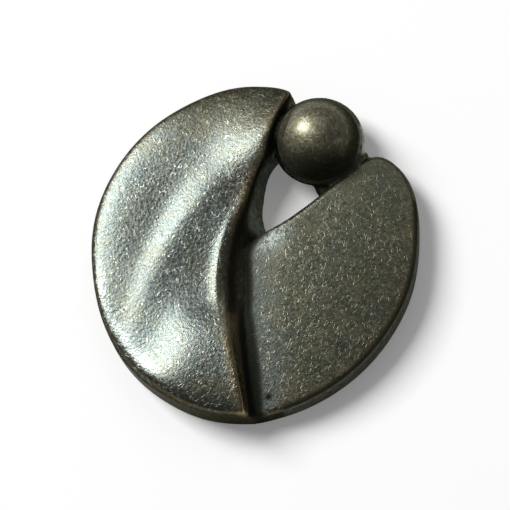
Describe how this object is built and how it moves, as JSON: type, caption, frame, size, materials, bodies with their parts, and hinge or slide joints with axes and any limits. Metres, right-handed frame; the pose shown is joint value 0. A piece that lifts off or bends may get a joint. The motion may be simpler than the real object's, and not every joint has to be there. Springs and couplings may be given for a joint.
{
  "type": "metal button",
  "caption": "Round cast coat button: a folded petal beside a smooth domed one, a raised ball in a collar, an open gap between them, and a sewing eye on the back.",
  "frame": {"origin": "centre of the sewing eye in the shank, under the middle of the face", "axes": "+Z out of the face, +Y along the sewing eye, towards the ball's end of the face, +X towards the smooth petal"},
  "size_m": [0.0247, 0.0257, 0.01],
  "materials": {
    "antique_metal": "dark antique plating, tumbled to a fine grain, with warm worn edges"
  },
  "bodies": {
    "root": {"button": "antique_metal"}
  },
  "joints": []
}
